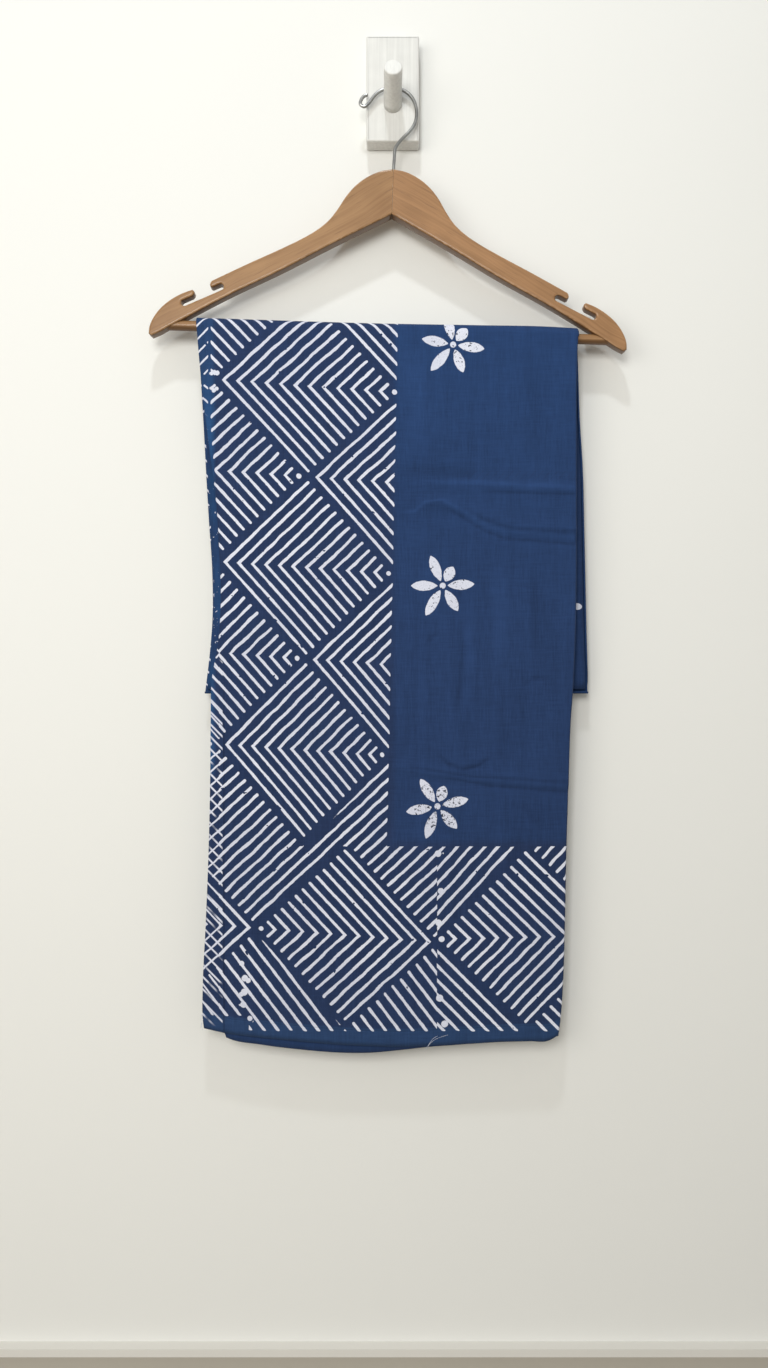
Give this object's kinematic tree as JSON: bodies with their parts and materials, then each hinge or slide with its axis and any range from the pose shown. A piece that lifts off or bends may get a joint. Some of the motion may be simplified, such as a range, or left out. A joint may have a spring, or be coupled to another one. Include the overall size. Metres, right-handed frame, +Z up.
{
  "type": "folded sarong on a wooden hanger and wall peg",
  "caption": "Block-printed cotton sarong, folded lengthways and hung in half over the bar of a flat wooden hanger, whose wire hook rests on a wall peg.",
  "frame": {"origin": "centre of the wall plate's back face, on the wall plane", "axes": "+Z up, +X to the right as seen by someone facing the wall, -Y out of the wall into the room"},
  "size_m": [0.4485, 0.0607, 0.9589],
  "materials": {
    "white_paint": "brushed white paint",
    "steel": "drawn wire, satin",
    "varnished_wood": "clear varnish over straight grain",
    "printed_cotton": "indigo plain weave with a white geometric block print and small flowers",
    "folded_cotton": "indigo plain weave"
  },
  "bodies": {
    "root": {"plate": "white_paint", "peg": "white_paint", "hook": "steel", "arm_left": "varnished_wood", "arm_right": "varnished_wood", "bar": "varnished_wood", "cloth_outer": "printed_cotton", "cloth_core": "folded_cotton"}
  },
  "joints": []
}
